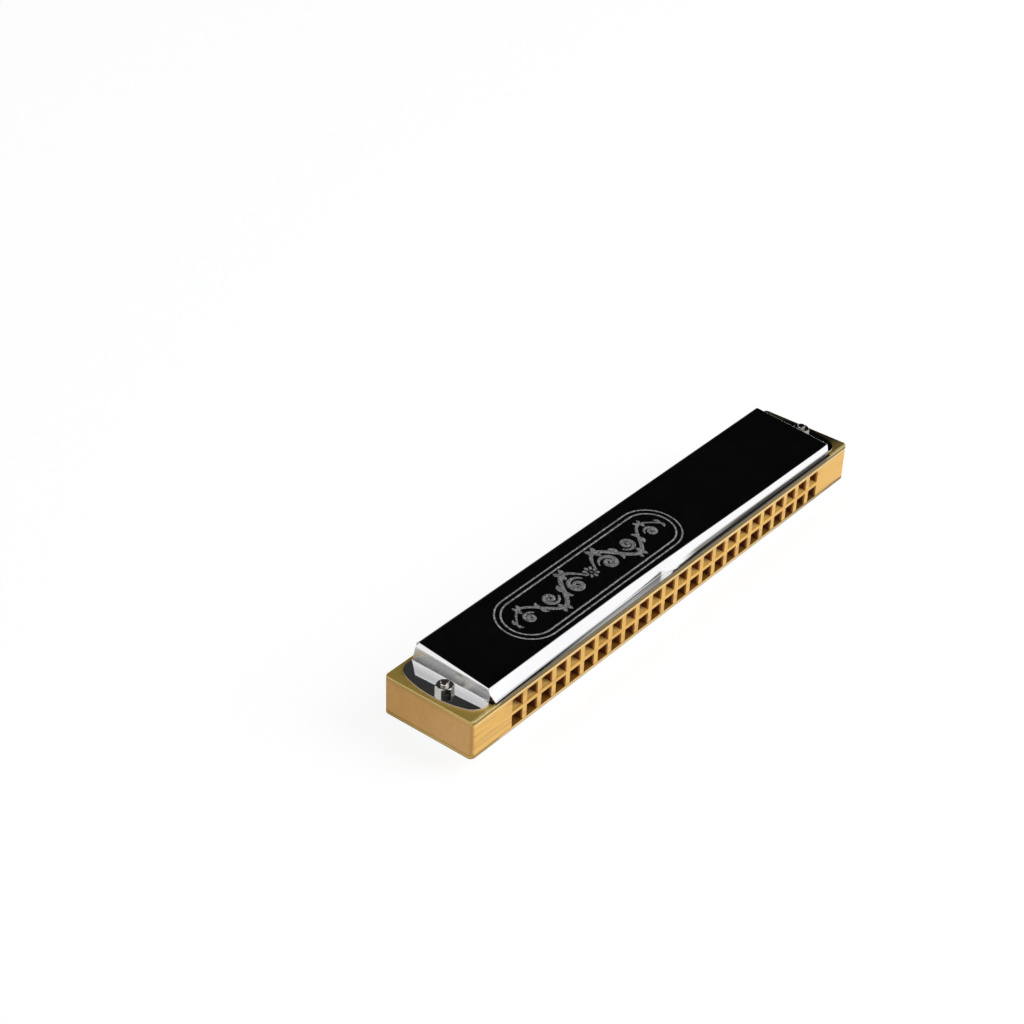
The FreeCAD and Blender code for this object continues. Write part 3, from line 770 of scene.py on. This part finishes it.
def roll_rear_edge(shape):
    """Rolls the top's rear edge over into a small tube."""
    rear_edges = [edge for edge in shape.edges if edge.is_boundary and all(map(on_rear_edge, edge.verts))]
    back = Vector((0, math.sin(COMB_LEAN), -math.cos(COMB_LEAN)))
    bmesh.ops.spin(
        shape,
        geom=rear_edges + list(dict.fromkeys(v for edge in rear_edges for v in edge.verts)),
        cent=Vector((0, COVER_REAR, top_height(COVER_REAR))) + back * BEAD_RADIUS,
        axis=(1, 0, 0),
        angle=-BEAD_TURN,
        steps=BEAD_STEPS,
        use_merge=False,
        use_duplicate=False,
    )


def drift_at(stations, x):
    """A drift between its stations along the cover."""
    for (start, first), (end, second) in zip(stations, stations[1:]):
        if x <= end:
            break
    share = min(max((x - start) / (end - start), 0), 1)
    return first + (second - first) * share


def hollow_wall(vertex):
    """Presses the middle of an end wall in."""
    x, y, z = vertex.co
    on_wall = WALL_SPAN[0] < abs(x) < WALL_SPAN[1] and y > CREST + WALL_FRONT
    if on_wall and z < top_height(y) - 0.4:
        up_wall = (z - TAB_TOP) / (top_height(y) - 0.8 - TAB_TOP)
        inward = WALL_HOLLOW * math.sin(math.pi * min(max(up_wall, 0), 1))
        vertex.co.x -= math.copysign(inward, x)


def drift_front(vertex):
    """Moves the front's upper bend and lower crease as the press left them."""
    x, y, z = vertex.co
    on_bend = z > CREST_TOP - 0.3 and y < CREST + BEND + 0.05
    on_front = LIP_EDGE + 0.1 < y < CREST + 0.02 and abs(x) < WALL_SPAN[1]
    if on_bend or on_front:
        up_slope = min(max((z - TAB_TOP) / (CREST_TOP - TAB_TOP), 0), 1)
        push = drift_at(BEND_DRIFT, x) * up_slope
        vertex.co.y += drift_at(CREASE_DRIFT, x) * (1 - up_slope) - push
        vertex.co.z -= BEND_SINK * push


def make_cover_shape(below):
    """One cover's sheet: the upper one, or the lower one as its plainer mirror image."""
    shape = bend_sheet(LOWER_LIP_EDGE if below else LIP_EDGE)
    for cut in range(1, LONG_CUTS):
        cut_across(shape, (COVER_END * (2 * cut / LONG_CUTS - 1), 0, 0), (1, 0, 0))
    for height in SLOPE_CUTS:
        cut_across(shape, (0, 0, height), (0, 0, 1))
    cut_across(shape, (0, CREST + TOP_CUT, 0), (0, 1, 0))
    roll_rear_edge(shape)
    for vertex in shape.verts:
        hollow_wall(vertex)
        if not below:
            drift_front(vertex)
    bmesh.ops.remove_doubles(shape, verts=shape.verts, dist=0.02)
    if below:
        bmesh.ops.transform(shape, matrix=Matrix.Scale(-1, 4, (0, 0, 1)), verts=shape.verts)
    bmesh.ops.recalc_face_normals(shape, faces=shape.faces)
    top = max(shape.faces, key=lambda face: face.calc_area())
    if (top.normal.z < 0) != below:
        bmesh.ops.reverse_faces(shape, faces=shape.faces)
    return shape


def finish_sheet(piece):
    """Gives the sheet its thickness, with softened rims."""
    wall = piece.modifiers.new("sheet", "SOLIDIFY")
    wall.thickness = SHEET * MM
    wall.offset = -1
    wall.use_even_offset = True
    wall.material_offset_rim = 1
    rim = piece.modifiers.new("rim", "BEVEL")
    rim.width = RIM_ROUNDING * MM
    rim.segments = 2
    rim.limit_method = "ANGLE"
    rim.angle_limit = RIM_ANGLE
    piece.modifiers.new("flats", "WEIGHTED_NORMAL").keep_sharp = True


def make_chrome():
    """Mirror chrome, hazier on the pressed slope and walls, with painted shade in the crease to the right.
    """
    material, tree, shader = new_material("polished_chrome")
    wave = noise(tree, object_place(tree, CHROME_WAVES), 1.0, 0.4)
    smudge, scratch = wear(tree, 90.0)
    x_facing, _, z_facing = facing(tree)
    slope_haze = rescale(tree, z_facing, 0.9, 0.5, 0.0, SLOPE_HAZE)
    wall_haze = rescale(tree, x_facing, 0.85, 0.97, 0.0, WALL_HAZE)
    haze = calculate(tree, "ADD", slope_haze, wall_haze)
    rough = calculate(tree, "ADD", rescale(tree, smudge, 0.0, 1.0, 0.03, 0.06), haze)
    rough = calculate(tree, "MULTIPLY_ADD", scratch, 0.05, rough)
    tint = mix_colours(tree, multiply(tree, smudge, 0.25), *CHROME_COLOURS)
    height = calculate(tree, "ABSOLUTE", height_over_comb(tree))
    # Painted shade at the foot of the front slope, right of the middle.
    shade_mask = multiply(
        tree,
        rescale(tree, height, *CREASE_SHADE_HEIGHT),
        rescale(tree, measure_along(tree, (0, 1, 0)), *CREASE_SHADE_DEPTH),
        rescale(tree, measure_along(tree, ALONG), *CREASE_SHADE_FROM),
    )
    tint = lay_over(tree, tint, shade_mask, 0.85, CREASE_SHADE_COLOUR)
    bump = make_bump(tree, wave, 0.5, 0.0001)
    feed(tree, shader, {"Base Color": tint, "Roughness": rough, "Normal": bump, "Metallic": 1.0})
    return material


def make_cut_edge():
    """The sheared edge: a creamy painted highlight on the tabs and the rolled edge's ends, and painted shade
    elsewhere.
    """
    material, tree, shader = new_material("sheared_chrome_edge")
    grit = noise(tree, object_place(tree, GRIT_WAVES), 2.0, 0.6)
    on_tab = rescale(tree, calculate(tree, "ABSOLUTE", measure_along(tree, ALONG)), *TABS_FROM)
    on_rolled_edge = rescale(tree, height_over_comb(tree), *ROLLED_EDGE_HEIGHT)
    # Painted highlight on the tabs and rolled edge's ends, painted shade on the rest of the edge.
    lit_edge = calculate(tree, "MAXIMUM", on_tab, on_rolled_edge)
    bright = mix_colours(tree, grit, *LIT_EDGE_COLOURS)
    tint = mix_colours(tree, lit_edge, mix_colours(tree, grit, *SHADED_EDGE_COLOURS), bright)
    rough = rescale(tree, grit, 0.3, 0.7, 0.4, 0.55)
    feed(tree, shader, {"Base Color": tint, "Roughness": rough, "Metallic": 0.3})
    return material


chrome = make_chrome()
cut_edge = make_cut_edge()
for side in ("upper", "lower"):
    cover_shape = make_cover_shape(side == "lower")
    cover = place_piece(f"{side}_cover_sheet", cover_shape, chrome, "chrome", f"{side}_cover")
    cover.data.materials.append(cut_edge)
    finish_sheet(cover)


# --- The etched ornament ----------------------------------------------------------------------------
# Two satin lines and a scroll of leaves between them, etched into the upper cover's chrome left of
# the middle. The scroll is a common one: two vines that grow out of a flower and curl at each wave.

# Sizes in millimetres.
ORNAMENT_MIDDLE = (-22.3, -1.3)
OUTER_RING = (36.6, 9.25)
INNER_RING = (34.85, 7.55)
OUTER_LINE = 0.5
INNER_LINE = 0.56
RING_STEPS = 20
ETCH_RELIEF = 0.06
LINE_RADIUS = 0.5
# The vine's stem, which swings lower with each lobe.
VINE_START = 2.0
VINE_WAVE = 10.0
VINE_HEIGHT = 5.0
VINE_LOBES = 3
VINE_FADE = 0.30
VINE_STEPS = 26
VINE_WIDTHS = (0.7, 1.45, 0.5)
# The curl in each lobe, which shrinks from one to the next.
LOBE_SHRINK = 0.15
CURL_OFFSET = (0.52, 0.9)
CURL_RADII = (3.35, 0.75)
CURL_START = math.radians(165)
CURL_TURNS = 1.55
CURL_STEPS = 40
# Leaves as pairs of turns: how far each leans from the vine and how far it bends.
CREST_LEAVES = ((0.35, 0.7), (2.6, -0.6))
SIDE_LEAVES = ((-0.9, -0.9), (-2.2, 0.8))
NODE_LEAVES = ((0.9, 0.9), (-0.9, -0.9))
LEAF_STEPS = 8
PETALS = 8
PETAL_RADII = (0.95, 1.45, 2.0, 2.5)
PETAL_WIDTHS = (0.35, 0.95, 1.05, 0.25)
LINE_COLOUR = (0.62, 0.62, 0.62, 1)
SCROLL_COLOUR = (0.46, 0.46, 0.47, 1)
PIT_WAVES = (2600, 2600, 2600)
BLOTCH_WAVES = (700, 700, 700)
PIT_SHADE = 0.22


def ring_points(half_length, half_height):
    """A straight-sided ring with full-round ends."""
    points = []
    for side in (1, -1):
        for step in range(RING_STEPS + 1):
            angle = math.pi * (step / RING_STEPS - 0.5)
            x = (half_length - half_height) + half_height * math.cos(angle)
            points.append((side * x, side * half_height * math.sin(angle)))
    return points


def curl_points(middle, radii, start, turn):
    """A spiral inwards round a middle, from a starting angle."""
    points = []
    for step in range(CURL_STEPS + 1):
        share = step / CURL_STEPS
        radius = radii[0] * (radii[1] / radii[0]) ** share
        angle = start + turn * share
        points.append((middle[0] + radius * math.cos(angle), middle[1] + radius * math.sin(angle)))
    return points


def swell(count, thin, thick, thin_end, peak=0.4):
    """Line widths that grow from thin to thick and taper again."""
    widths = []
    for step in range(count):
        share = step / (count - 1)
        if share < peak:
            widths.append(thin + (thick - thin) * math.sin(math.pi / 2 * share / peak))
        else:
            past_peak = math.cos(math.pi / 2 * (share - peak) / (1 - peak))
            widths.append(thin_end + (thick - thin_end) * past_peak)
    return widths


def leaf_stroke(root, angle, length, bend, thick, thin=0.5, peak=0.45):
    """A leaf: a short curved rib from its root, with its swelling width."""
    points = []
    for step in range(LEAF_STEPS + 1):
        share = step / LEAF_STEPS
        heading = angle + bend * share
        reach = length * share
        points.append((root[0] + reach * math.cos(heading), root[1] + reach * math.sin(heading)))
    return points, swell(len(points), thin, thick, 0.2, peak)


def stem_stroke():
    """The vine's waving stem."""
    points = []
    steps = VINE_STEPS * VINE_LOBES
    for step in range(steps + 1):
        share = step / steps
        x = VINE_START + VINE_WAVE * VINE_LOBES * share
        fade = 1 - VINE_FADE * share
        points.append((x, VINE_HEIGHT * fade * math.sin(math.pi * VINE_LOBES * share)))
    return points, swell(len(points), *VINE_WIDTHS, 0.25)


def lobe_strokes(lobe):
    """The curl and the leaves in one lobe of a vine."""
    side = 1 if lobe % 2 == 0 else -1
    size = 1 - LOBE_SHRINK * lobe
    middle = (VINE_START + VINE_WAVE * (lobe + CURL_OFFSET[0]), -side * CURL_OFFSET[1] * size)
    radii = [radius * size for radius in CURL_RADII]
    curl = curl_points(middle, radii, CURL_START * side, -side * 2 * math.pi * CURL_TURNS)
    strokes = [(curl, swell(len(curl), 0.5, 1.6 * size, 0.75, 0.3))]
    strokes.append(([curl[-1], (middle[0] + 0.1, middle[1])], [1.7 * size, 1.2 * size]))
    crest_y = side * VINE_HEIGHT * (1 - VINE_FADE * (lobe + 0.5) / VINE_LOBES)
    crest = (VINE_START + VINE_WAVE * (lobe + 0.5), crest_y)
    for lean, bend in CREST_LEAVES:
        strokes.append(leaf_stroke(crest, side * lean, 2.6 * size, side * bend, 1.6 * size, peak=0.5))
    beside = (crest[0] + 0.6, crest[1] - side * 0.3)
    for lean, bend in SIDE_LEAVES:
        strokes.append(leaf_stroke(beside, side * lean, 1.9 * size, side * bend, 1.25 * size, thin=0.4))
    crossing = (VINE_START + VINE_WAVE * (lobe + 1.0), 0)
    for lean, bend in NODE_LEAVES:
        strokes.append(leaf_stroke(crossing, lean, 3.0 * size, bend, 1.6 * size))
    return strokes


def vine_strokes():
    """The lines of one vine, to the right of the flower."""
    strokes = [stem_stroke()]
    for lobe in range(VINE_LOBES):
        strokes += lobe_strokes(lobe)
    return strokes


def flower_strokes():
    """The petals and the middle of the flower."""
    strokes = []
    for petal in range(PETALS):
        angle = 2 * math.pi * petal / PETALS
        points = [(radius * math.cos(angle), radius * math.sin(angle)) for radius in PETAL_RADII]
        strokes.append((points, PETAL_WIDTHS))
    strokes.append(([(-0.25, 0), (0, 0), (0.25, 0)], [0.9, 1.1, 0.9]))
    return strokes


def draw_lines(name, strokes, closed=False):
    """Flat raised lines of changing width, on the upper cover's top."""
    curve = bpy.data.curves.new(name, "CURVE")
    curve.dimensions = "3D"
    curve.bevel_depth = LINE_RADIUS
    curve.bevel_resolution = 1
    curve.use_fill_caps = True
    for points, widths in strokes:
        spline = curve.splines.new("POLY")
        spline.points.add(len(points) - 1)
        spline.use_cyclic_u = closed
        for point, (x, y), width in zip(spline.points, points, widths):
            point.co = (x, y, 0, 1)
            point.radius = width
    drawing = bpy.data.objects.new(name, curve)
    mesh = bpy.data.meshes.new_from_object(drawing)
    bpy.data.objects.remove(drawing)
    shape = bmesh.new()
    shape.from_mesh(mesh)
    bpy.data.meshes.remove(mesh)
    x, y = ORNAMENT_MIDDLE
    on_top = Matrix.Translation((x, y, top_height(y))) @ Matrix.Rotation(COMB_LEAN, 4, "X")
    shape.transform(on_top @ Matrix.Scale(ETCH_RELIEF, 4, (0, 0, 1)))
    bmesh.ops.recalc_face_normals(shape, faces=shape.faces)
    return shape


def make_etching(name, colour, grain_depth):
    """Satin etched metal: a fine pitted grain that scatters the light."""
    material, tree, shader = new_material(name)
    pits = noise(tree, object_place(tree, PIT_WAVES), 2.0, 0.7)
    blotch = noise(tree, object_place(tree, BLOTCH_WAVES), 2.0)
    light = multiply(tree, rescale(tree, pits, 0.42, 0.58), rescale(tree, blotch, 0.3, 0.6, 0.45, 1.0))
    dark = tuple(channel * PIT_SHADE for channel in colour[:3]) + (1,)
    tint = mix_colours(tree, light, dark, colour)
    rough = rescale(tree, pits, 0.3, 0.7, 0.42, 0.6)
    bump = make_bump(tree, pits, 0.6, grain_depth)
    feed(tree, shader, {"Base Color": tint, "Roughness": rough, "Normal": bump, "Metallic": 0.35})
    return material


line_etching = make_etching("etched_line", LINE_COLOUR, 0.00001)
scroll_etching = make_etching("etched_scroll", SCROLL_COLOUR, 0.00003)
rings = []
for ring, width in ((OUTER_RING, OUTER_LINE), (INNER_RING, INNER_LINE)):
    points = ring_points(*ring)
    rings.append((points, [width] * len(points)))
place_piece("ornament_rings", draw_lines("ornament_rings", rings, True), line_etching, "chrome")
scroll = vine_strokes()
scroll += [([(-x, y) for x, y in points], widths) for points, widths in vine_strokes()]
scroll += flower_strokes()
place_piece("ornament_scroll", draw_lines("ornament_scroll", scroll), scroll_etching, "chrome")


# --- The cover screws and nuts ----------------------------------------------------------------------
# A nickel-plated steel screw at each end goes up through both tabs, both plates and the comb. A
# hexagon nut on the upper tab holds the covers down on the plates.

# Sizes in millimetres, and the nuts' turns in degrees.
SCREW_PLACE = (83.8, -1.3)
NUT_APOTHEM = 2.25
NUT_HEIGHT = 2.0
NUT_BORE = 1.3
NUT_TURNS = {-1: 50, 1: 20}
NUT_STEPS = 72
NUT_CUTS = (0.35, 0.55, 0.7, 0.82, 0.92)
NUT_TOP_FACE = 0.98
NUT_CONE = 1.73
# The nickel with painted shade towards the right end, and the thread's grooves in metres, with painted shade
# in them.
NICKEL_COLOURS = ((0.86, 0.83, 0.78, 1), (0.70, 0.66, 0.60, 1))
NICKEL_SHADE_COLOUR = (0.20, 0.19, 0.17, 1)
NICKEL_SHADE_FROM = (0.0, 0.08)
NICKEL_WAVES = (500, 500, 500)
THREAD_PITCH = 0.0005
THREAD_RELIEF = 0.00025
GROOVE_SHADE_COLOUR = (0.10, 0.09, 0.08, 1)


def make_nickel(name, threaded):
    """Nickel plate with a fine haze and painted shade towards the right end, and with a thread and painted
    shade in its grooves if asked.
    """
    material, tree, shader = new_material(name)
    haze = noise(tree, object_place(tree, NICKEL_WAVES), 3.0, 0.6)
    smudge, scratch = wear(tree, 400.0)
    rough = calculate(tree, "MULTIPLY_ADD", scratch, 0.08, rescale(tree, haze, 0.35, 0.75, 0.10, 0.2))
    tint = mix_colours(tree, smudge, *NICKEL_COLOURS)
    # Painted shade darkens the nickel towards the right end.
    nickel_shade = rescale(tree, measure_along(tree, ALONG), *NICKEL_SHADE_FROM)
    tint = lay_over(tree, tint, nickel_shade, 0.6, NICKEL_SHADE_COLOUR)
    if threaded:
        turns = calculate(tree, "DIVIDE", measure_along(tree, UPWARD), THREAD_PITCH)
        thread = calculate(tree, "PINGPONG", turns, 0.5)
        # Painted shade at the bottom of each thread groove.
        tint = mix_colours(tree, rescale(tree, thread, 0.14, 0.02), tint, GROOVE_SHADE_COLOUR)
        bump = make_bump(tree, thread, 0.5, THREAD_RELIEF)
    else:
        bump = make_bump(tree, haze, 0.5, 0.00001)
    feed(tree, shader, {"Base Color": tint, "Roughness": rough, "Normal": bump, "Metallic": 1.0})
    return material


def cut_level(shape, parts, height):
    """Cuts the vertices' faces at a height, and returns the vertices with the new ones."""
    edges = list(dict.fromkeys(edge for vertex in parts for edge in vertex.link_edges))
    faces = list(dict.fromkeys(face for vertex in parts for face in vertex.link_faces))
    cut = bmesh.ops.bisect_plane(
        shape, geom=parts + edges + faces, dist=1e-5, plane_co=(0, 0, height), plane_no=(0, 0, 1)
    )
    return parts + [item for item in cut["geom_cut"] if isinstance(item, bmesh.types.BMVert)]


def close_end(shape, parts, height):
    """Joins the outer and the inner ring at one end of the nut."""
    edges = dict.fromkeys(edge for vertex in parts for edge in vertex.link_edges if edge.is_boundary)
    loops = [edge for edge in edges if all(abs(v.co.z - height) < 1e-4 for v in edge.verts)]
    bmesh.ops.bridge_loops(shape, edges=loops)


def make_nut(shape, side):
    """A bored hexagon nut whose top corners are turned off to a cone."""
    parts = []
    for radius in (2 * NUT_APOTHEM, NUT_BORE):
        ring = bmesh.ops.create_cone(
            shape, cap_ends=False, segments=NUT_STEPS, radius1=radius, radius2=radius, depth=NUT_HEIGHT
        )
        parts += ring["verts"]
    for cut in NUT_CUTS:
        parts = cut_level(shape, parts, cut * NUT_HEIGHT / 2)
    parts = list(dict.fromkeys(parts))
    for end in (-1, 1):
        close_end(shape, parts, end * NUT_HEIGHT / 2)
    for vertex in parts:
        x, y, z = vertex.co
        if math.hypot(x, y) < 1.5 * NUT_BORE:
            continue
        angle = math.atan2(y, x)
        hexagon = NUT_APOTHEM / math.cos((angle + math.pi / 6) % (math.pi / 3) - math.pi / 6)
        turned = NUT_APOTHEM * NUT_TOP_FACE + (NUT_HEIGHT / 2 - z) * NUT_CONE
        radius = min(hexagon, turned)
        vertex.co.x = radius * math.cos(angle)
        vertex.co.y = radius * math.sin(angle)
    place = Matrix.Translation((side * SCREW_PLACE[0], SCREW_PLACE[1], TAB_TOP + NUT_HEIGHT / 2))
    place = place @ Matrix.Rotation(math.radians(NUT_TURNS[side]), 4, "Z")
    bmesh.ops.transform(shape, matrix=place, verts=parts)


nuts = bmesh.new()
for side in (-1, 1):
    make_nut(nuts, side)
bmesh.ops.recalc_face_normals(nuts, faces=nuts.faces)
nut_pair = place_piece("hexagon_nuts", nuts, make_nickel("nickel_plate", False), "screws", "cover_nuts")
for face in nut_pair.data.polygons:
    face.use_smooth = False
finish_node("cover_screws", make_nickel("nickel_thread", True))
